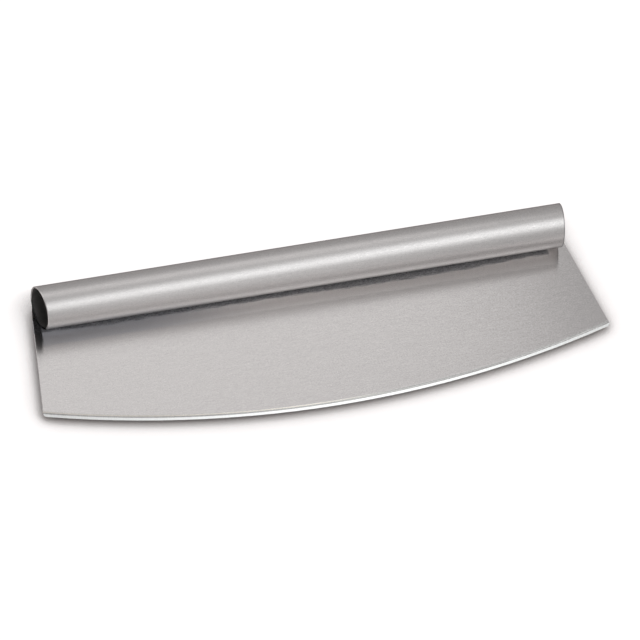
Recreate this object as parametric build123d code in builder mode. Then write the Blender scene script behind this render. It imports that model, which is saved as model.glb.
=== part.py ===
"""Rocking pizza knife: a sheet blade with a bowed edge, curled and welded to a tube that is the handle.

The knife lies on its flat back. X runs along the handle, Y from the cutting edge up to the handle, and Z up,
out of the blade's face. The origin is under the middle of its outline, on the surface that it lies on.
"""
import os
from math import cos, degrees, hypot, radians, sin, sqrt

from build123d import *

# Sizes of the blade, in millimetres
BLADE_LENGTH = 350.0       # between the lower corners
BLADE_ROOT_LENGTH = 327.0  # where the flat sheet meets the tube
BLADE_DROP = 65.5          # from that root line down to the lower corners
EDGE_BOW = 24.5            # how far the cutting edge hangs below the lower corners
SHEET = 1.2                # thickness
CORNER_RADIUS = 2.5        # lower corners
SIDE_BREAK = 0.25          # chamfer that takes the burr off the side edges
GRIND_HEIGHT = 3.0         # hollow-ground band on the front face, up from the cutting edge
GRIND_HOLLOW = 0.06        # how far the band's face sinks below a flat one
EDGE_BEVEL_HEIGHT = 1.4    # steeper bevel that ends the band
EDGE_BEVEL_DEPTH = 0.33    # how far the band has cut into the sheet where that bevel starts
BACK_BEVEL_HEIGHT = 0.6
BACK_BEVEL_DEPTH = 0.1
EDGE_LAND = 0.15           # steel left at the very edge
CURL_ANGLE = 55.0          # degrees that the top margin wraps round the tube's back

# Sizes of the handle
TUBE_DIAMETER = 26.0
TUBE_WALL = 1.2
TUBE_LENGTH = 322.0        # along its middle line
TUBE_END_LEAN = 7.5        # degrees; the ends lean, so the tube is longest along its top
RIM_BREAK = 0.25           # chamfer round both rims

# Sizes of the weld
FIT_GAP = 0.1              # between the tube and the steel that follows its curve
SEAM_SETBACK = 7.0         # both seams stop short of the tube's ends by this much
FRONT_SEAM_START = 2.5     # from the root line, down the blade
FRONT_SEAM_REACH = 5.3     # where the bead leaves the tube
FRONT_SEAM_TOE = 6.3       # where the bead meets the blade's face
FRONT_SEAM_HOLLOW = 0.1    # how far its face is dished
REAR_SEAM_REACH = 1.8      # along the tube from the curl's edge
REAR_SEAM_CROWN = 0.25     # how far its face is domed

# How far every cutting shape runs past what it cuts
OVERRUN = 5.0

# Places worked out from the sizes above
tube_radius = TUBE_DIAMETER / 2
hug_radius = tube_radius + FIT_GAP      # the steel that follows the tube has this radius
curl_radius = hug_radius + SHEET        # outside of the curl
edge_radius = ((BLADE_LENGTH / 2) ** 2 + EDGE_BOW**2) / (2 * EDGE_BOW)
root_y = (BLADE_DROP + EDGE_BOW - tube_radius) / 2   # centres the outline on the origin
corner_y = root_y - BLADE_DROP
edge_y = corner_y - EDGE_BOW
edge_centre_y = edge_y + edge_radius
tube_z = SHEET + hug_radius
flare = (BLADE_LENGTH - BLADE_ROOT_LENGTH) / 2 / BLADE_DROP   # how fast each side edge moves outwards
curl_end = CURL_ANGLE - 90                                     # degrees round the tube's middle line, from +Y
seam_length = TUBE_LENGTH - 2 * SEAM_SETBACK


def round_tube(radius, angle):
    """The point in the YZ plane at a radius and an angle from the tube's middle line."""
    return (root_y + radius * cos(radians(angle)), tube_z + radius * sin(radians(angle)))


# The blade: a flat sheet with broken edges, and the curl that follows the tube from the root line on
root_half = BLADE_ROOT_LENGTH / 2
top_y = root_y + curl_radius
top_half = root_half - flare * curl_radius
with BuildPart() as blade:
    with BuildSketch(Plane.XY) as outline:
        with BuildLine():
            ThreePointArc((-BLADE_LENGTH / 2, corner_y), (0, edge_y), (BLADE_LENGTH / 2, corner_y))
            Polyline(
                (BLADE_LENGTH / 2, corner_y), (root_half, root_y), (-root_half, root_y), (-BLADE_LENGTH / 2, corner_y)
            )
        make_face()
        fillet(outline.vertices().group_by(Axis.Y)[0], CORNER_RADIUS)
    extrude(amount=SHEET)
    root_face = blade.faces().sort_by(Axis.Y)[-1]
    flat_faces = blade.faces().filter_by(Axis.Z)
    broken_edges = [edge for face in flat_faces for edge in face.edges() if edge.center().Y < root_face.center().Y]
    chamfer(broken_edges, SIDE_BREAK)
    with BuildSketch(Plane.YZ):
        with BuildLine():
            CenterArc((root_y, tube_z), curl_radius, -90, CURL_ANGLE)
            Line(round_tube(curl_radius, curl_end), round_tube(hug_radius, curl_end))
            CenterArc((root_y, tube_z), hug_radius, -90, CURL_ANGLE)
            Line((root_y, SHEET), (root_y, 0))
        make_face()
    extrude(amount=root_half, both=True)
    with BuildSketch(Plane.XY):
        with BuildLine():
            Polyline((root_half, root_y), (top_half, top_y), (root_half + OVERRUN, top_y), close=True)
        make_face()
        mirror(about=Plane.YZ)
    extrude(amount=TUBE_DIAMETER, mode=Mode.SUBTRACT)
    # The front face is hollow ground and then bevelled down to the land, and the back face has a small bevel
    grind_top = (edge_radius - GRIND_HEIGHT, SHEET)
    bevel_top = (edge_radius - EDGE_BEVEL_HEIGHT, SHEET - EDGE_BEVEL_DEPTH)
    grind_middle = ((grind_top[0] + bevel_top[0]) / 2, (grind_top[1] + bevel_top[1]) / 2 - GRIND_HOLLOW)
    land_high = BACK_BEVEL_DEPTH + EDGE_LAND
    with BuildSketch(Plane(origin=(0, edge_centre_y, 0), x_dir=(0, -1, 0), z_dir=(-1, 0, 0))):
        with BuildLine():
            ThreePointArc(grind_top, grind_middle, bevel_top)
            Polyline(
                bevel_top,
                (edge_radius, land_high),
                (edge_radius + OVERRUN, land_high),
                (edge_radius + OVERRUN, SHEET + OVERRUN),
                (edge_radius - GRIND_HEIGHT, SHEET + OVERRUN),
                grind_top,
            )
        make_face()
        with BuildLine():
            Polyline(
                (edge_radius - BACK_BEVEL_HEIGHT, 0),
                (edge_radius, BACK_BEVEL_DEPTH),
                (edge_radius + OVERRUN, BACK_BEVEL_DEPTH),
                (edge_radius + OVERRUN, -OVERRUN),
                (edge_radius - BACK_BEVEL_HEIGHT, -OVERRUN),
                close=True,
            )
        make_face()
    revolve(axis=Axis((0, edge_centre_y, 0), (0, 0, 1)), mode=Mode.SUBTRACT)

# The handle: a round tube with leaning ends and broken rims
with BuildPart() as handle_tube:
    with BuildSketch(Plane.YZ):
        with Locations((root_y, tube_z)):
            Circle(tube_radius)
            Circle(tube_radius - TUBE_WALL, mode=Mode.SUBTRACT)
    extrude(amount=TUBE_LENGTH / 2 + tube_radius + OVERRUN, both=True)
    for side in (-1, 1):
        lean = radians(TUBE_END_LEAN)
        end_plane = Plane(origin=(side * TUBE_LENGTH / 2, root_y, tube_z), z_dir=(side * cos(lean), -sin(lean), 0))
        split(bisect_by=end_plane, keep=Keep.BOTTOM)
    rims = handle_tube.edges().filter_by(GeomType.LINE, reverse=True)
    chamfer(rims, RIM_BREAK)


def front_seam_height(down):
    """Height of the tube's hugging curve over the root line, a distance down the blade from it."""
    return tube_z - sqrt(hug_radius**2 - down**2)


# The front seam: a slightly dished bead in the corner between the blade's face and the tube
with BuildPart() as front_weld_seam:
    inner = (root_y - FRONT_SEAM_START, front_seam_height(FRONT_SEAM_START))
    crest = (root_y - FRONT_SEAM_REACH, front_seam_height(FRONT_SEAM_REACH))
    toe = (root_y - FRONT_SEAM_TOE, SHEET)
    middle = ((crest[0] + toe[0]) / 2, (crest[1] + toe[1]) / 2)
    slope = hypot(crest[0] - toe[0], crest[1] - toe[1])
    dished = (
        middle[0] + FRONT_SEAM_HOLLOW * (crest[1] - toe[1]) / slope,
        middle[1] - FRONT_SEAM_HOLLOW * (crest[0] - toe[0]) / slope,
    )
    between = (FRONT_SEAM_START + FRONT_SEAM_REACH) / 2
    with BuildSketch(Plane.YZ):
        with BuildLine():
            ThreePointArc(inner, (root_y - between, front_seam_height(between)), crest)
            ThreePointArc(crest, dished, toe)
            Polyline(toe, (root_y - FRONT_SEAM_START, SHEET), inner)
        make_face()
    extrude(amount=seam_length / 2, both=True)

# The rear seam: a domed bead against the curl's edge, laid on the tube
with BuildPart() as rear_weld_seam:
    seam_turn = degrees(REAR_SEAM_REACH / tube_radius)
    heel = round_tube(curl_radius, curl_end)
    foot = round_tube(hug_radius, curl_end + seam_turn)
    crown = round_tube((curl_radius + hug_radius) / 2 + REAR_SEAM_CROWN, curl_end + seam_turn / 2)
    with BuildSketch(Plane.YZ):
        with BuildLine():
            ThreePointArc(heel, crown, foot)
            CenterArc((root_y, tube_z), hug_radius, curl_end, seam_turn)
            Line(round_tube(hug_radius, curl_end), heel)
        make_face()
    extrude(amount=seam_length / 2, both=True)

os.makedirs("parts", exist_ok=True)
pieces = {
    "blade": blade,
    "handle_tube": handle_tube,
    "front_weld_seam": front_weld_seam,
    "rear_weld_seam": rear_weld_seam,
}
for name, piece in pieces.items():
    piece.part.label = name
    export_step(piece.part, f"parts/{name}.step")
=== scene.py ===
# %% [markdown]
# # A rocking pizza knife in brushed steel
# The knife is two pieces of bare stainless steel and the weld between them: a sheet blade with a bowed
# cutting edge, and an open round tube that is the handle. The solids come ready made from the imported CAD
# model. What is left for Blender is the finish: the grain that brushing leaves in the steel, the ground
# edge, the weld's ripples and the studio that all this metal mirrors. Everything here is in metres. X
# runs along the handle, Y from the cutting edge up to the handle and Z upwards.

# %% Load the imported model
from math import cos, pi, radians, sin

import bpy
from mathutils import Matrix, Quaternion, Vector


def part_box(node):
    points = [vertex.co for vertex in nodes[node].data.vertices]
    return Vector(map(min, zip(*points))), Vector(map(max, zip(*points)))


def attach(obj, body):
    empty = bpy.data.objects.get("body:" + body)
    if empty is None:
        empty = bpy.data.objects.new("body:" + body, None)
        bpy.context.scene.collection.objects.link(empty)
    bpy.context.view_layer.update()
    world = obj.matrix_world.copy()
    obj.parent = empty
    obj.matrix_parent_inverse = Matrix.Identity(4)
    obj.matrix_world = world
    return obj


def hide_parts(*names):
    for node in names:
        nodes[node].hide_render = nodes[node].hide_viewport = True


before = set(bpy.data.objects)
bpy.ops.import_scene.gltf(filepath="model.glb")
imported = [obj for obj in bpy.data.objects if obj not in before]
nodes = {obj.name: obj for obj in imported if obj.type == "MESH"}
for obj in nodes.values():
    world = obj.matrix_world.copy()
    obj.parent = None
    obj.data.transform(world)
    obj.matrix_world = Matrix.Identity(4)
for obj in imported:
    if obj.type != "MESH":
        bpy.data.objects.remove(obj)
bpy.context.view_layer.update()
MM = 0.001
print("pieces:", ", ".join(sorted(nodes)))

# %% [markdown]
# ## Sizes that the finishes need
# A finish that changes from place to place, such as the ground band along the edge, has to know where
# that place is. The boxes of the CAD pieces give what can be measured. The rest can't be read from a box,
# so it is typed: the tube's wall, its half length and leaning ends, and the bow of the edge, which is an
# arc between two corners.

# %% Measure the pieces
TUBE_WALL = 1.2 * MM
TUBE_HALF = 161 * MM              # half its length along the middle line
TUBE_END_LEAN = radians(7.5)      # both ends lean, so the tube is longest along its top
EDGE_BOW = 24.5 * MM              # how far the cutting edge hangs below the corners
CORNER_HALF = 175 * MM            # half the length between the corners, before they are rounded

blade_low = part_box("blade")[0]
tube_low, tube_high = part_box("handle_tube")
tube_centre = (tube_low + tube_high) / 2
tube_radius = (tube_high.z - tube_low.z) / 2
edge_radius = (CORNER_HALF**2 + EDGE_BOW**2) / (2 * EDGE_BOW)
edge_centre_y = blade_low.y + edge_radius
print(f"tube: {2 * tube_radius / MM:.2f} mm across; cutting edge: {edge_radius / MM:.1f} mm radius")

# %% [markdown]
# ## A shorthand for shader maths
# A finish is built from a lot of small sums. Wiring each sum by hand hides what it says, so one small
# class wraps a socket and turns Python's own signs into Math nodes.


# %% Wrap a socket
class Value:
    """A number in a material that can be used in Python sums."""

    def __init__(self, finish, socket):
        self.finish = finish
        self.socket = socket

    def math(self, operation, *others):
        sockets = dict(enumerate((self, *others)))
        return self.finish.node("ShaderNodeMath", {"operation": operation}, sockets)

    def __add__(self, other):
        return self.math("ADD", other)

    def __sub__(self, other):
        return self.math("SUBTRACT", other)

    def __rsub__(self, other):
        return self.math("MULTIPLY_ADD", -1.0, other)

    def __mul__(self, other):
        return self.math("MULTIPLY", other)

    def __pow__(self, other):
        return self.math("POWER", other)

    __radd__ = __add__
    __rmul__ = __mul__


# %% [markdown]
# ## One material at a time
# Every finish starts the same way, with an empty node tree and the place of a point on the piece. Object
# coordinates give that place, because each piece has its shape in its mesh and its object at the origin.
# So a second class holds one material. One of its methods adds any node, and the others are words for
# what the finishes do often: a step from one value to another, a mix of two colours, cloudy noise, bumps
# and the metal itself. The metal's tangent lies across the knife. With a high Anisotropic value, every
# mirror image is then smeared across the brushing and stays sharp along it.


# %% Hold a material
class Finish:
    """One material, with a method that adds any node to it."""

    def __init__(self, name):
        self.material = bpy.data.materials.new(name)
        self.material.use_nodes = True
        self.tree = self.material.node_tree
        self.tree.nodes.clear()
        self.place = self.node("ShaderNodeTexCoord", output="Object")
        self.x, self.y, self.z = (
            self.node("ShaderNodeSeparateXYZ", values={0: self.place}, output=axis) for axis in range(3))

    def node(self, kind, settings=None, values=None, output=0):
        """Adds a node: first its settings, then a value or a link for each socket."""
        made = self.tree.nodes.new(kind)
        for name, setting in (settings or {}).items():
            setattr(made, name, setting)
        for name, value in (values or {}).items():
            if isinstance(value, Value):
                self.tree.links.new(value.socket, made.inputs[name])
            else:
                made.inputs[name].default_value = value
        return Value(self, made.outputs[output]) if made.outputs else None

    def span(self, value, low, high, to_low=0.0, to_high=1.0, smooth=True):
        """The value's way from low to high, as a number from to_low to to_high that stays inside them."""
        kind = "SMOOTHSTEP" if smooth else "LINEAR"
        return self.node("ShaderNodeMapRange", {"interpolation_type": kind}, {
            "Value": value, "From Min": low, "From Max": high, "To Min": to_low, "To Max": to_high})

    def blend(self, share, first, second):
        """Two colours mixed."""
        colours = {"Factor": share, "A": first, "B": second}
        return self.node("ShaderNodeMix", {"data_type": "RGBA"}, colours, output=2)

    def noise(self, size, detail, seed):
        """Cloudy noise from 0 to 1, whose spots have that size along X, Y and Z."""
        scaled = self.node("ShaderNodeMapping", values={
            "Vector": self.place, "Location": (seed, seed, seed), "Scale": tuple(1 / s for s in size)})
        return self.node("ShaderNodeTexNoise", values={"Vector": scaled, "Scale": 1.0, "Detail": detail})

    def bump(self, height, rise):
        """A normal that is tilted by a height map, whose full height is rise."""
        return self.node("ShaderNodeBump", values={"Height": height, "Distance": rise, "Strength": 1.0})

    def metal(self, colour, roughness, normal, anisotropy, grazing=1.0):
        """Closes the material as metal; grazing is how much it still mirrors at a flat angle."""
        across = self.node("ShaderNodeCombineXYZ", values={"X": 0.0, "Y": 1.0, "Z": 0.6})
        surface = self.node("ShaderNodeBsdfPrincipled", output="BSDF", values={
            "Base Color": colour, "Metallic": 1.0, "Roughness": roughness, "Normal": normal,
            "Anisotropic": anisotropy, "Tangent": across, "Specular Tint": (grazing, grazing, grazing, 1)})
        self.node("ShaderNodeOutputMaterial", values={"Surface": surface})
        return self.material


# %% [markdown]
# ## Brushed steel
# Brushing drags a belt along the knife and leaves thousands of shallow scratches in one direction. A
# picture of scratches would need to be wrapped round the tube, so noise that is stretched along X stands
# for them instead. Three sizes of it are added up: short specks, longer hairs and a few broad streaks.
# They make the steel lighter and darker, smoother and rougher, and raise its surface by a few thousandths
# of a millimetre. The grain shows more towards the right end of the knife.

# %% Make brushed steel
STEEL_TONE = (0.622, 0.596, 0.589)
TONE_SWING = 0.20                 # how much the grain darkens and lightens the tone
ROUGHNESS_SWING = 0.03            # how much it changes the roughness
ANISOTROPY = 0.8
SPECK_SIZE = (0.9 * MM, 0.4 * MM, 0.4 * MM)
HAIR_SIZE = (3.5 * MM, 0.3 * MM, 0.3 * MM)
STREAK_SIZE = (14 * MM, 0.9 * MM, 0.9 * MM)
SPECK_SHARE, HAIR_SHARE, STREAK_SHARE = 0.60, 0.30, 0.10
NOISE_MIDDLE = 0.5
NOISE_USUAL = (0.3, 0.7)          # most of the noise lies between these
LEFT_GRAIN, RIGHT_GRAIN = 0.57, 0.90    # how much of the grain shows
GRAIN_GROWS_FROM = -100 * MM      # along X


def toned(factor):
    return tuple(factor * part for part in STEEL_TONE) + (1,)


def brushed(name, roughness, grazing, grain, marks):
    """Brushed steel; marks changes its colour and roughness before the material is closed."""
    steel = Finish(name)
    speck = steel.noise(SPECK_SIZE, detail=1, seed=3.1)
    hair = steel.noise(HAIR_SIZE, detail=1, seed=7.7)
    streak = steel.noise(STREAK_SIZE, detail=2, seed=1.3)
    scratches = SPECK_SHARE * speck + HAIR_SHARE * hair + STREAK_SHARE * streak
    strength = steel.span(steel.x, GRAIN_GROWS_FROM, CORNER_HALF, LEFT_GRAIN, RIGHT_GRAIN, smooth=False)
    scratches = NOISE_MIDDLE + (scratches - NOISE_MIDDLE) * strength
    light = steel.span(scratches, *NOISE_USUAL, smooth=False)
    colour = steel.blend(light, toned(1 - TONE_SWING), toned(1 + TONE_SWING))
    dull, smooth = roughness + ROUGHNESS_SWING, roughness - ROUGHNESS_SWING
    rough = steel.span(scratches, *NOISE_USUAL, dull, smooth, smooth=False)
    normal = steel.bump(scratches, grain)
    colour, rough = marks(steel, colour, rough)
    return steel.metal(colour, rough, normal, ANISOTROPY, grazing)


# %% [markdown]
# ## The ground edge
# The cutting edge is ground after the sheet is cut, and the wheel takes the brushing off. It leaves a
# band of 3 mm along the bow, with fine marks across it instead of along it, and ends it in a narrow bevel
# that is a little duller. The bevel's near-white colour is a painted highlight, and so is the lighter
# middle of the band. A thin line is painted at the band's top. It is a warm highlight on the left half of
# the knife and a dark shade line on the right half. The bow is part of a circle, so a point's distance from
# the circle's middle says how far it is from the edge.

# %% Grind the edge
GRIND_HEIGHT = 3.0 * MM
EDGE_BEVEL_HEIGHT = 1.4 * MM
GRIND_BLUR = 0.1 * MM             # to each side of a line between two finishes
# The thin line at the band's top is painted highlight on the left and painted shade on the right.
PAINTED_LINE_DEPTHS = (0.5 * MM, 0.9 * MM)    # how far below the band's top the painted highlight and shade line fades
PAINTED_LINE_STRENGTH = 0.9
PAINTED_LINE_TURNS = (-30 * MM, 50 * MM)    # along X, from the warm painted highlight to the dark painted shade
WHEEL_MARK_SIZE = (0.18 * MM, 5 * MM, 5 * MM)
WHEEL_MARK_USUAL = (0.35, 0.65)
MIDDLE_HIGHLIGHT_SHARE = 0.6               # share of the painted highlight in the band's middle
MIDDLE_HIGHLIGHT_FROM = (-100 * MM, -30 * MM)
MIDDLE_HIGHLIGHT_TO = (90 * MM, 30 * MM)
BAND_ROUGHNESS, BEVEL_ROUGHNESS = 0.22, 0.36
GROUND_DARK, GROUND_LIGHT = (0.52, 0.51, 0.50, 1), (0.72, 0.70, 0.69, 1)
# The band's lighter middle and the bevel's near-white colour are painted highlights.
GROUND_MIDDLE_HIGHLIGHT = (0.86, 0.85, 0.83, 1)
BEVEL_HIGHLIGHT_DARK, BEVEL_HIGHLIGHT_LIGHT = (0.90, 0.89, 0.88, 1), (0.98, 0.98, 0.97, 1)
# The thin line's colours: a warm painted highlight and a dark painted shade.
LINE_WARM_HIGHLIGHT, LINE_DARK_SHADE = (0.98, 0.92, 0.84, 1), (0.38, 0.37, 0.36, 1)


def ground_edge(steel, colour, rough):
    from_middle = (steel.x ** 2 + (edge_centre_y - steel.y) ** 2) ** 0.5
    height = edge_radius - from_middle
    band = steel.span(height, GRIND_HEIGHT + GRIND_BLUR, GRIND_HEIGHT - GRIND_BLUR)
    bevel = steel.span(height, EDGE_BEVEL_HEIGHT + GRIND_BLUR, EDGE_BEVEL_HEIGHT - GRIND_BLUR)
    light = steel.span(steel.noise(WHEEL_MARK_SIZE, detail=2, seed=4.4), *WHEEL_MARK_USUAL, smooth=False)
    # The band's lighter middle is a painted highlight.
    middle_highlight = steel.span(steel.x, *MIDDLE_HIGHLIGHT_FROM, 0, MIDDLE_HIGHLIGHT_SHARE) * steel.span(steel.x, *MIDDLE_HIGHLIGHT_TO)
    ground = steel.blend(middle_highlight, steel.blend(light, GROUND_DARK, GROUND_LIGHT), GROUND_MIDDLE_HIGHLIGHT)
    # The bevel's near-white colour is a painted highlight over its real grinding marks.
    bevel_highlight = steel.blend(light, BEVEL_HIGHLIGHT_DARK, BEVEL_HIGHLIGHT_LIGHT)
    colour = steel.blend(band, colour, steel.blend(bevel, ground, bevel_highlight))
    # A thin painted line at the band's top: a warm highlight on the left half, a dark shade on the right.
    painted_line = band * steel.span(height, GRIND_HEIGHT - PAINTED_LINE_DEPTHS[1], GRIND_HEIGHT - PAINTED_LINE_DEPTHS[0])
    painted_line_colour = steel.blend(steel.span(steel.x, *PAINTED_LINE_TURNS), LINE_WARM_HIGHLIGHT, LINE_DARK_SHADE)
    colour = steel.blend(PAINTED_LINE_STRENGTH * painted_line, colour, painted_line_colour)
    rough = rough * (1 - band) + (BAND_ROUGHNESS + (BEVEL_ROUGHNESS - BAND_ROUGHNESS) * bevel) * band
    return colour, rough


# %% [markdown]
# ## The painted shade below the handle
# A ragged grey strip of painted shade stays below the handle. It stands for the dark underside of the
# tube, mirrored in the blade. It is narrow at the left and widest right of the middle, and it stops
# squarely where the seam stops, short of the tube's right end. It could be painted by hand, but a
# material that measures how far a point is from the tube needs no picture. Noise is added to that
# distance, so that the strip's border is ragged.

# %% Paint the shade strip along the weld
SEAM_HALF = 154 * MM              # half the weld's length
RAGGED_SIZE = (8 * MM, 0.8 * MM, 0.8 * MM)
RAGGED_SWING = 3.6 * MM           # how far the noise moves a border
MOTTLE_SIZE = (1.6 * MM, 0.5 * MM, 0.5 * MM)
BORDER_BLUR = 0.9 * MM            # to each side of a border
FRONT_FACE = (0.3 * MM, 0.9 * MM)    # heights between which the blade's back ends and its front begins
PAST_TUBE_LINE = 3 * MM           # the marks end this far past the tube's middle line
# The grey strip below the handle is painted shade.
SHADE_STRIP_REACH = 10.4 * MM            # from the tube's middle line down the blade
NARROWER = 1.6 * MM               # at the left end, and as much wider right of the middle
NARROW_LEFT = (-162 * MM, -120 * MM)
WIDE_FROM, WIDE_TO = (-20 * MM, 40 * MM), (140 * MM, 90 * MM)
SHADE_STRIP_STOPS = (0.6 * MM, 1.4 * MM)    # before the seam's right end
LEFT_SHADE_STRIP, RIGHT_SHADE_STRIP = 0.95, 0.85
SHADE_STRIP_FADES = (-150 * MM, 100 * MM)
SHADE_STRIP_DULLS = 0.08                 # added to the roughness
# The two tones of the painted shade.
SHADE_STRIP_DARK, SHADE_STRIP_LIGHT = (0.20, 0.205, 0.22, 1), (0.42, 0.42, 0.435, 1)


def distance_down(steel):
    """How far a point is from the tube's middle line down the blade, give or take the ragged noise."""
    ragged = steel.noise(RAGGED_SIZE, detail=4, seed=6.3)
    return tube_centre.y - steel.y + (ragged - NOISE_MIDDLE) * RAGGED_SWING


def painted_shade_strip(steel, colour, rough, down, mottled, front):
    """The grey strip of painted shade next to the weld, for the tube's dark underside mirrored in the blade.
    """
    narrower = steel.span(steel.x, *NARROW_LEFT, NARROWER, 0)
    wider = steel.span(steel.x, *WIDE_FROM, 0, NARROWER) * steel.span(steel.x, *WIDE_TO)
    near = steel.span(down + narrower - wider, SHADE_STRIP_REACH + BORDER_BLUR, SHADE_STRIP_REACH - BORDER_BLUR)
    before_end = steel.span(steel.x, SEAM_HALF - SHADE_STRIP_STOPS[0], SEAM_HALF - SHADE_STRIP_STOPS[1])
    # Where the painted shade lies.
    shade_strip = near * before_end * front
    strength = steel.span(steel.x, *SHADE_STRIP_FADES, LEFT_SHADE_STRIP, RIGHT_SHADE_STRIP, smooth=False)
    tone = steel.blend(steel.span(mottled, *NOISE_USUAL), SHADE_STRIP_DARK, SHADE_STRIP_LIGHT)
    return steel.blend(shade_strip * strength, colour, tone), rough + SHADE_STRIP_DULLS * shade_strip


# %% [markdown]
# ## The painted reflection below it
# Below the grey strip a tint paints the tube's reflection in the blade: cool and a little darker on the
# left, lighter on the right. It has the same grain as the rest, so a tint is enough. The tint is strong
# down to a second border, which is as ragged as the first, and then fades out. It also fades out near
# both ends of the tube.

# %% Paint the reflection tint
# Below the grey strip, a tint paints the tube's reflection in the blade.
REFLECTION_TINT_REACH = 18.3 * MM         # down to the second border
REFLECTION_TINT_FADES = (24 * MM, 17 * MM)
REFLECTION_TINT_LEAST = 0.65              # share of the tint above the border
REFLECTION_TINT_SWING = 0.4               # how much more of it the mottling adds
REFLECTION_TINT_BELOW = 0.3               # share of the tint below the border
REFLECTION_TINT_RIGHT = (159 * MM, 151 * MM)
REFLECTION_TINT_LEFT = (-166 * MM, -160 * MM)
REFLECTION_TINT_TURNS = (-110 * MM, -10 * MM)
# The painted reflection's tints, cool on the left and light on the right.
COOL_REFLECTION_TINT, LIGHT_REFLECTION_TINT = (0.535, 0.545, 0.575, 1), (0.90, 0.875, 0.865, 1)


def painted_reflection_tint(steel, colour, down, mottled, front):
    """The painted reflection tint on the steel below the grey strip."""
    border = (REFLECTION_TINT_REACH - BORDER_BLUR, REFLECTION_TINT_REACH + BORDER_BLUR)
    above = steel.span(down, border[1], border[0]) * (REFLECTION_TINT_LEAST + REFLECTION_TINT_SWING * mottled)
    below = steel.span(down, *border) * steel.span(down, *REFLECTION_TINT_FADES, 0, REFLECTION_TINT_BELOW)
    inside_ends = steel.span(steel.x, *REFLECTION_TINT_RIGHT) * steel.span(steel.x, *REFLECTION_TINT_LEFT)
    # The tint is a painted reflection of the tube.
    tint = steel.blend(steel.span(steel.x, *REFLECTION_TINT_TURNS), COOL_REFLECTION_TINT, LIGHT_REFLECTION_TINT)
    return steel.blend(front * inside_ends * (above + below), colour, tint)


def blade_marks(steel, colour, rough):
    """All that sets the blade's steel apart: the ground edge with its painted highlights, and the painted
    shade and reflection of the tube on its front.
    """
    colour, rough = ground_edge(steel, colour, rough)
    down = distance_down(steel)
    mottled = steel.noise(MOTTLE_SIZE, detail=3, seed=8.1)
    before_curl = steel.span(steel.y, tube_centre.y + PAST_TUBE_LINE, tube_centre.y)
    front = steel.span(steel.z, *FRONT_FACE) * before_curl
    # Painted reflection of the tube in the blade.
    colour = painted_reflection_tint(steel, colour, down, mottled, front)
    # Painted shade of the tube's underside, mirrored in the blade.
    return painted_shade_strip(steel, colour, rough, down, mottled, front)


# %% [markdown]
# ## The tube's bore and rims
# The inside of a drawn tube is never brushed, so it is dull, and its darker colour is painted shade
# inside the tube. A distance from the tube's middle line tells it from the outside. Painted shade makes
# the low side of the left mouth nearly black, and a thin dark line of painted shade runs along the rim at
# the right end. Both are found by how far a point is from the plane of that end, which leans.

# %% Dull the bore and paint shade in it, in the left mouth and on the right rim
BORE_STARTS = (0.5 * TUBE_WALL, 0.8 * TUBE_WALL)    # how deep in the wall the outside's finish ends
BORE_CLOUD_SIZE = (12 * MM, 5 * MM, 5 * MM)
BORE_ROUGHNESS = 0.5
# The bore's darker colours are painted shade inside the tube.
BORE_SHADE_DARK, BORE_SHADE_LIGHT = (0.28, 0.27, 0.265, 1), (0.54, 0.53, 0.52, 1)
MOUTH_SHADE_HEIGHTS = (10 * MM, 7.5 * MM)    # the painted shade in the mouth lies below these heights
MOUTH_SHADE_DEPTHS = (-0.6 * MM, -0.3 * MM)    # past the plane of the end, so these are inside it
# Painted shade for the low side of the left mouth.
MOUTH_SHADE_COLOUR = (0.06, 0.06, 0.06, 1)
# A thin painted shade line along the right rim.
RIM_SHADE_DEPTHS = (-0.9 * MM, -0.4 * MM)
RIM_SHADE_STRENGTH = 0.6
RIM_SHADE_COLOUR = (0.16, 0.16, 0.165, 1)


def past_end(steel, side):
    """How far a point is past the tube's end; side is -1 for the left end and 1 for the right one."""
    along = side * steel.x - TUBE_HALF
    return along * cos(TUBE_END_LEAN) - (steel.y - tube_centre.y) * sin(TUBE_END_LEAN)


def tube_marks(steel, colour, rough):
    """All that sets the tube's steel apart: its dull bore with painted shade, painted shade in its left
    mouth and a painted shade line at its right rim.
    """
    from_axis = ((steel.y - tube_centre.y) ** 2 + (steel.z - tube_centre.z) ** 2) ** 0.5
    inside = steel.span(from_axis, *(tube_radius - depth for depth in BORE_STARTS))
    cloud = steel.noise(BORE_CLOUD_SIZE, detail=4, seed=9.2)
    # The bore's darker colour is painted shade.
    colour = steel.blend(inside, colour, steel.blend(cloud, BORE_SHADE_DARK, BORE_SHADE_LIGHT))
    rough = rough * (1 - inside) + BORE_ROUGHNESS * inside
    # Painted shade in the low side of the left mouth.
    mouth_shade = steel.span(steel.z, *MOUTH_SHADE_HEIGHTS) * steel.span(past_end(steel, -1), *MOUTH_SHADE_DEPTHS)
    colour = steel.blend(mouth_shade, colour, MOUTH_SHADE_COLOUR)
    # A painted shade line along the right rim.
    right_rim_shade = steel.span(past_end(steel, 1), *RIM_SHADE_DEPTHS)
    colour = steel.blend(RIM_SHADE_STRENGTH * right_rim_shade, colour, RIM_SHADE_COLOUR)
    return colour, rough


# %% [markdown]
# ## The blade and the handle
# Both keep their CAD meshes, whose shape is right, and only get a new finish. The tube is brushed a
# little coarser than the sheet. It also mirrors less at a flat angle, or the white table would outshine
# its top line.


# %% Finish the blade and the handle
def finish_node(node_name, roughness, grazing, grain, marks):
    piece = nodes[node_name]
    piece.data.materials.clear()
    piece.data.materials.append(brushed(node_name + "_brushed", roughness, grazing, grain, marks))
    print(node_name, "is finished")


finish_node("blade", roughness=0.20, grazing=1.0, grain=0.002 * MM, marks=blade_marks)
finish_node("handle_tube", roughness=0.29, grazing=0.1, grain=0.0045 * MM, marks=tube_marks)

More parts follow.
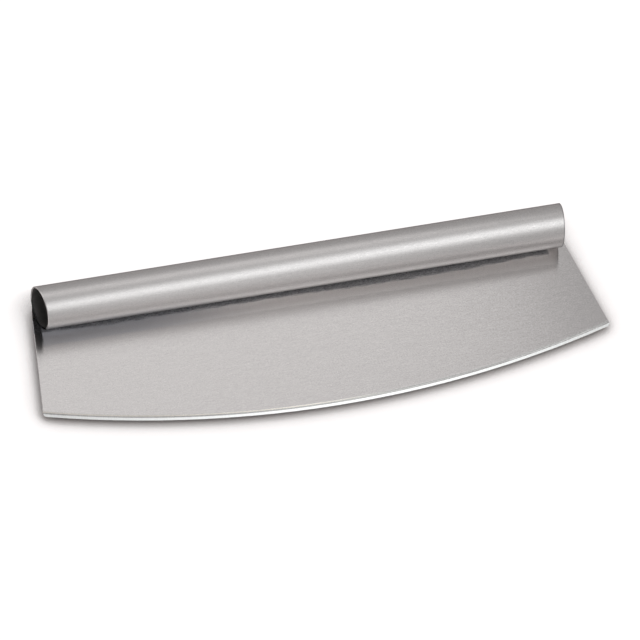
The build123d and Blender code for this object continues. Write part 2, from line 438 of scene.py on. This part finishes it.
# %% [markdown]
# ## One ripple of the weld
# A welder lays the bead in small steps, and each step leaves a crescent, so that the bead looks like a
# row of leaning coins. A bump map could draw them, but the bead's outline would stay smooth. So one
# crescent is modelled: a short piece of cylinder, cut into rings whose middle is swollen, with its crown
# pulled forwards.

# %% Model one ripple
END_DOME = 0.6 * MM               # how far the bead's closed ends reach past its last ripples
RIPPLE_COUNT = 246
RIPPLE_SIDES = 12
RIPPLE_SWELL = 1.09
CROWN_LEAD = 0.45                 # how far the crown is pulled forwards, in ripples
CROWN_STEPS = (0.2, 0.8)          # shares of the half width above which it is pulled
ripple = 2 * (SEAM_HALF - END_DOME) / (RIPPLE_COUNT + CROWN_LEAD)


def select_points(mesh, wanted):
    """Selects the points of a mesh in edit mode for which wanted(point) is true, and only those."""
    bpy.ops.mesh.select_all(action="DESELECT")
    bpy.ops.object.mode_set(mode="OBJECT")
    for vertex in mesh.vertices:
        vertex.select = wanted(vertex)
    bpy.ops.object.mode_set(mode="EDIT")


def cut_rings(bead):
    """Cuts the cylinder's long edges into four, and leaves it in edit mode."""
    bpy.ops.object.mode_set(mode="EDIT")
    bpy.ops.mesh.select_mode(type="EDGE")
    bpy.ops.mesh.select_all(action="DESELECT")
    bpy.ops.object.mode_set(mode="OBJECT")
    for edge in bead.data.edges:
        first, second = (bead.data.vertices[i].co for i in edge.vertices)
        edge.select = abs(first.x - second.x) > ripple / 2
    bpy.ops.object.mode_set(mode="EDIT")
    bpy.ops.mesh.subdivide(number_cuts=3)
    bpy.ops.mesh.select_mode(type="VERT")


def one_ripple(name, half_width, half_height):
    bpy.ops.object.select_all(action="DESELECT")
    bpy.ops.mesh.primitive_cylinder_add(vertices=RIPPLE_SIDES, radius=half_width, depth=ripple,
                                        end_fill_type="NOTHING", rotation=(0, pi / 2, 0))
    bead = bpy.context.object
    bead.name = bead.data.name = name
    bpy.ops.object.transform_apply(location=True, rotation=True, scale=True)
    cut_rings(bead)
    half_swell = (1 + RIPPLE_SWELL) / 2
    for ring, swell in ((0, RIPPLE_SWELL), (-ripple / 4, half_swell), (ripple / 4, RIPPLE_SWELL)):
        select_points(bead.data, lambda point: abs(point.co.x - ring) < ripple / 16)
        bpy.ops.transform.resize(value=(1, swell, swell), center_override=(0, 0, 0))
    for height in CROWN_STEPS:
        select_points(bead.data, lambda point: point.co.z > height * half_width)
        bpy.ops.transform.translate(value=(CROWN_LEAD / len(CROWN_STEPS) * ripple, 0, 0))
    bpy.ops.mesh.select_all(action="SELECT")
    bpy.ops.transform.resize(value=(1, 1, half_height / half_width), center_override=(0, 0, 0))
    bpy.ops.object.mode_set(mode="OBJECT")
    return bead


# %% [markdown]
# ## The weld beads
# An Array modifier copies the ripple along the whole seam, and merging joins the copies into one skin.
# Its two open ends are then found by their rims, drawn in to small domes and closed. The plain beads of
# the CAD model stay in it for collision, and these stand for them.

# %% Copy the ripple along the seam
DOME_STEPS = ((0.4, 0.8), (0.0, 0.5))    # shares of the dome's length and width that each ring keeps


def copy_along_seam(bead):
    row = bead.modifiers.new("ripples", "ARRAY")
    row.count = RIPPLE_COUNT
    row.use_relative_offset = False
    row.use_constant_offset = True
    row.constant_offset_displace = (ripple, 0, 0)
    row.use_merge_vertices = True
    row.merge_threshold = ripple / 50
    bpy.ops.object.modifier_apply(modifier="ripples")


def close_end(bead, end, centre):
    """Draws one open end of the bead in to a small dome and closes it."""
    bpy.ops.mesh.select_all(action="DESELECT")
    bpy.ops.mesh.select_non_manifold(extend=False, use_wire=False, use_boundary=True, use_multi_face=False,
                                     use_non_contiguous=False, use_verts=False)
    bpy.ops.object.mode_set(mode="OBJECT")
    rim = {vertex.index for vertex in bead.data.vertices if vertex.select and end * vertex.co.x > 0}
    bpy.ops.object.mode_set(mode="EDIT")
    select_points(bead.data, lambda point: point.index in rim)
    for along, across in DOME_STEPS:
        bpy.ops.mesh.extrude_region_move(TRANSFORM_OT_translate={"value": (0, 0, 0)})
        bpy.ops.transform.resize(value=(along, across, across), center_override=(end * SEAM_HALF, *centre))
    bpy.ops.mesh.edge_face_add()


# %% Lay the two beads
SMOOTH_BELOW = radians(50)


def weld_bead(name, node_name, centre, half_width, half_height, tilt):
    """A bead along the seam, whose middle line has that centre in Y and Z, turned by tilt round it."""
    bead = one_ripple(name, half_width, half_height)
    bead.rotation_euler = (tilt, 0, 0)
    bead.location = (-SEAM_HALF + END_DOME + ripple / 2, centre[0], centre[1])
    bpy.ops.object.transform_apply(location=True, rotation=True, scale=True)
    copy_along_seam(bead)
    bpy.ops.object.mode_set(mode="EDIT")
    for end in (-1, 1):
        close_end(bead, end, centre)
    bpy.ops.mesh.select_all(action="SELECT")
    bpy.ops.mesh.normals_make_consistent(inside=False)
    bpy.ops.object.mode_set(mode="OBJECT")
    bpy.ops.object.shade_smooth_by_angle(angle=SMOOTH_BELOW)
    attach(bead, "root")
    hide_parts(node_name)
    print(f"{name}: {len(bead.data.polygons)} faces")
    return bead


front_corner = (tube_centre.y - 5.4 * MM, 1.6 * MM)
front_bead = weld_bead("front_weld_bead", "front_weld_seam", front_corner,
                       half_width=0.95 * MM, half_height=0.55 * MM, tilt=radians(48))
curl_edge = (tube_centre.y + 11.25 * MM, tube_centre.z - 7.05 * MM)
rear_bead = weld_bead("rear_weld_bead", "rear_weld_seam", curl_edge,
                      half_width=1.2 * MM, half_height=0.66 * MM, tilt=radians(-90))

# %% [markdown]
# ## The weld's finish
# The welds were left as the torch made them, apart from a wire brush. So they have no long grain. They
# are a little darker than the sheet and lean towards straw and brown, the colours that heat leaves in
# stainless steel. Patches a few millimetres long carry the colour, and fine dark flecks lie over them.

# %% Finish the welds
PATCH_SIZE = (4 * MM, 1.5 * MM, 1.5 * MM)
FLECK_SIZE = (0.3 * MM, 0.3 * MM, 0.3 * MM)
STRAW, GREY, BROWN = (0.50, 0.46, 0.42, 1), (0.56, 0.54, 0.53, 1), (0.36, 0.33, 0.31, 1)
STRAW_TO_GREY = (0.35, 0.65)      # shares of the patches' noise
FLECKS_FROM = (0.55, 0.75)        # shares of the flecks' noise
WELD_ROUGHNESS = (0.28, 0.42)
FLECK_RISE = 0.01 * MM


def welded(name):
    steel = Finish(name)
    patch = steel.noise(PATCH_SIZE, detail=3, seed=2.6)
    fleck = steel.noise(FLECK_SIZE, detail=2, seed=5.9)
    tint = steel.blend(steel.span(patch, *STRAW_TO_GREY), STRAW, GREY)
    colour = steel.blend(steel.span(fleck, *FLECKS_FROM), tint, BROWN)
    rough = steel.span(fleck, *NOISE_USUAL, *WELD_ROUGHNESS)
    return steel.metal(colour, rough, steel.bump(fleck, FLECK_RISE), anisotropy=0.0)


for bead in (front_bead, rear_bead):
    bead.data.materials.clear()
    bead.data.materials.append(welded(bead.name + "_steel"))
    print(bead.name, "is finished")

# %% [markdown]
# ## The table
# The soft shadow in the photograph is wider than a blade of 1.2 mm can throw on paper that it touches. It
# is the shadow of a knife on a clear sheet that lies a few millimetres over white paper, which is a
# common way to take such pictures. So the knife rests on a clear sheet here, and its shadow falls on the
# white paper below.

# %% Lay a stage plane
SHEET_THICKNESS = 3.5 * MM
TABLE_SIZE = 60.0


def stage_plane(name, height):
    bpy.ops.object.select_all(action="DESELECT")
    bpy.ops.mesh.primitive_plane_add(size=TABLE_SIZE, location=(0, 0, height))
    plane = bpy.context.object
    plane.name = name
    print(f"{name} lies at {height / MM:.2f} mm")
    return plane


# %% [markdown]
# ## The white paper
# Most of the paper's white is its own glow. The camera and the metal see it and it lights nothing else,
# so the background is white while the lamps stay plain. Ambient occlusion, raised to a power, takes the
# glow away near the knife, so that its shadow stays. The rest of the white is the light that falls on the
# paper.

# %% Make the paper
PAPER_GLOW = 0.92
GLOW_COLOUR = (0.965, 0.965, 0.97, 1)
PAPER_COLOUR = (0.35, 0.30, 0.285, 1)
SHADOW_REACH = 18 * MM
SHADOW_DEPTH = 3.0                # the power that the occlusion is raised to
SHADOW_SAMPLES = 4
BLACK = (0, 0, 0, 1)

paper = stage_plane("white_paper", -SHEET_THICKNESS)
paper_finish = Finish("white_paper")
camera_ray = paper_finish.node("ShaderNodeLightPath", output="Is Camera Ray")
glossy_ray = paper_finish.node("ShaderNodeLightPath", output="Is Glossy Ray")
transmission_ray = paper_finish.node("ShaderNodeLightPath", output="Is Transmission Ray")
seen = camera_ray + glossy_ray + transmission_ray
open_sky = paper_finish.node(
    "ShaderNodeAmbientOcclusion", {"samples": SHADOW_SAMPLES}, {"Distance": SHADOW_REACH}, output="AO")
glow_colour = paper_finish.blend(seen * open_sky ** SHADOW_DEPTH, BLACK, GLOW_COLOUR)
glow = paper_finish.node("ShaderNodeEmission", values={"Color": glow_colour, "Strength": PAPER_GLOW})
diffuse = paper_finish.node("ShaderNodeBsdfDiffuse", values={"Color": PAPER_COLOUR})
both = paper_finish.node("ShaderNodeAddShader", values={0: diffuse, 1: glow})
paper_finish.node("ShaderNodeOutputMaterial", values={"Surface": both})
paper.data.materials.append(paper_finish.material)

# %% [markdown]
# ## The clear sheet
# Glass as a shader would bend the light and make the picture noisy. The sheet needs only to be seen
# through and to give back a faint image of the knife, so a transparent shader and a glossy one are mixed
# by Fresnel. It throws no shadow of its own, or the paper's ambient occlusion would be dark everywhere.

# %% Make the clear sheet
SHEET_GAP = 0.01 * MM             # below the knife, so that the two surfaces don't fight
SHEET_IOR = 1.45
SHEET_ROUGHNESS = 0.02

clear_sheet = stage_plane("clear_sheet", -SHEET_GAP)
clear_sheet.visible_shadow = False
clear_finish = Finish("clear_sheet")
through = clear_finish.node("ShaderNodeBsdfTransparent", output="BSDF")
gloss = clear_finish.node("ShaderNodeBsdfGlossy", values={"Roughness": SHEET_ROUGHNESS}, output="BSDF")
share = clear_finish.node("ShaderNodeFresnel", values={"IOR": SHEET_IOR})
mixed = clear_finish.node("ShaderNodeMixShader", values={0: share, 1: through, 2: gloss})
clear_finish.node("ShaderNodeOutputMaterial", values={"Surface": mixed})
clear_sheet.data.materials.append(clear_finish.material)

# %% [markdown]
# ## The light
# Bare steel has hardly any colour of its own. It shows what stands around it, so the lights are placed
# like things in a mirror. A pale dome gives the steel its even grey, and a softbox behind the knife
# brightens the flat of the blade, which mirrors what is behind and above it. The bright line along the
# tube is the image of a broad softbox over the front, and a narrow one along its middle makes the line's
# core brighter towards the right. Both are a touch cool, and both hang askew, lower at the left, which is
# why the line sinks towards the left end of the tube. A small one in front lifts the tube's lower side,
# and one far to the left lights the rim of the open end.

# %% Light the dome
DOME = 0.48
world = bpy.data.worlds.new("studio")
bpy.context.scene.world = world
world.use_nodes = True
world.node_tree.nodes["Background"].inputs["Color"].default_value = (1, 1, 1, 1)
world.node_tree.nodes["Background"].inputs["Strength"].default_value = DOME
print("dome strength:", DOME)

# %% Hang the softboxes
WHITE, COOL = (1, 1, 1), (0.96, 1.0, 1.01)


def softbox(name, along, angle, width, height, brightness, turn=0, distance=1.0, colour=WHITE):
    """A lamp over the knife; its angle is 0 at the horizon behind, 90 overhead and 180 in front."""
    lamp = bpy.data.lights.new(name, "AREA")
    lamp.shape = "RECTANGLE"
    lamp.color = colour
    lamp.size, lamp.size_y = width, height
    lamp.energy = brightness * width * height * pi
    box = bpy.data.objects.new(name, lamp)
    bpy.context.scene.collection.objects.link(box)
    away = Vector((0, cos(radians(angle)), sin(radians(angle))))
    along_x = Vector((1, 0, 0))
    facing = Matrix((along_x, away.cross(along_x), away)).transposed()
    box.rotation_mode = "QUATERNION"
    box.rotation_quaternion = facing.to_quaternion() @ Quaternion((0, 0, 1), radians(turn))
    box.location = away * distance + along_x * along
    box.visible_camera = False
    print(f"{name}: {lamp.energy:.2f} W")
    return box


softbox("back_softbox", along=0.14, angle=56, width=0.54, height=0.44, brightness=0.54, turn=20)
softbox("top_softbox", along=0.26, angle=116, width=1.10, height=0.58, brightness=0.9, turn=45, colour=COOL)
softbox("strip_softbox", along=0.42, angle=106, width=0.85, height=0.2, brightness=0.6, turn=45, colour=COOL)
softbox("front_softbox", along=0.24, angle=162, width=0.24, height=0.36, brightness=0.4)
left = softbox("left_softbox", along=-1.6, angle=30, width=0.5, height=0.5, brightness=1.6, distance=0.9)
left.rotation_quaternion = left.location.to_track_quat("Z", "Y")

# %% [markdown]
# ## The camera
# The photograph was taken from far away with a long lens, so the knife's straight lines stay parallel.
# The camera stands 55 degrees above the table, turned towards the open left end of the tube, and it is
# rolled, so that the handle climbs to the right.

# %% Set up the camera
CAMERA_ELEVATION = radians(55.01)
CAMERA_TURN = radians(-27.63)     # from looking straight along +Y
CAMERA_ROLL = radians(14.09)
CAMERA_DISTANCE = 9.0
CAMERA_SEES = 40.0                # as far as this
SENSOR_WIDTH, LENS = 36, 858.99   # in millimetres, as Blender has them
AIM = Vector((8.57, 15.13, -10.51)) * MM

back = Vector((sin(CAMERA_TURN) * cos(CAMERA_ELEVATION), -cos(CAMERA_TURN) * cos(CAMERA_ELEVATION),
               sin(CAMERA_ELEVATION)))
camera = bpy.data.objects.new("camera", bpy.data.cameras.new("camera"))
bpy.context.scene.collection.objects.link(camera)
camera.data.sensor_width = SENSOR_WIDTH
camera.data.lens = LENS
camera.data.clip_end = CAMERA_SEES
camera.location = AIM + back * CAMERA_DISTANCE
camera.rotation_mode = "QUATERNION"
camera.rotation_quaternion = (-back).to_track_quat("-Z", "Y") @ Quaternion((0, 0, 1), CAMERA_ROLL)
bpy.context.scene.camera = camera
print("camera at", [round(value, 3) for value in camera.location])

# %% [markdown]
# ## The picture
# A film-like view transform would bend the colours after they are rendered. The plain Standard one is
# set, so that the steel comes out as its finish says.

# %% Set the picture
bpy.context.scene.view_settings.view_transform = "Standard"
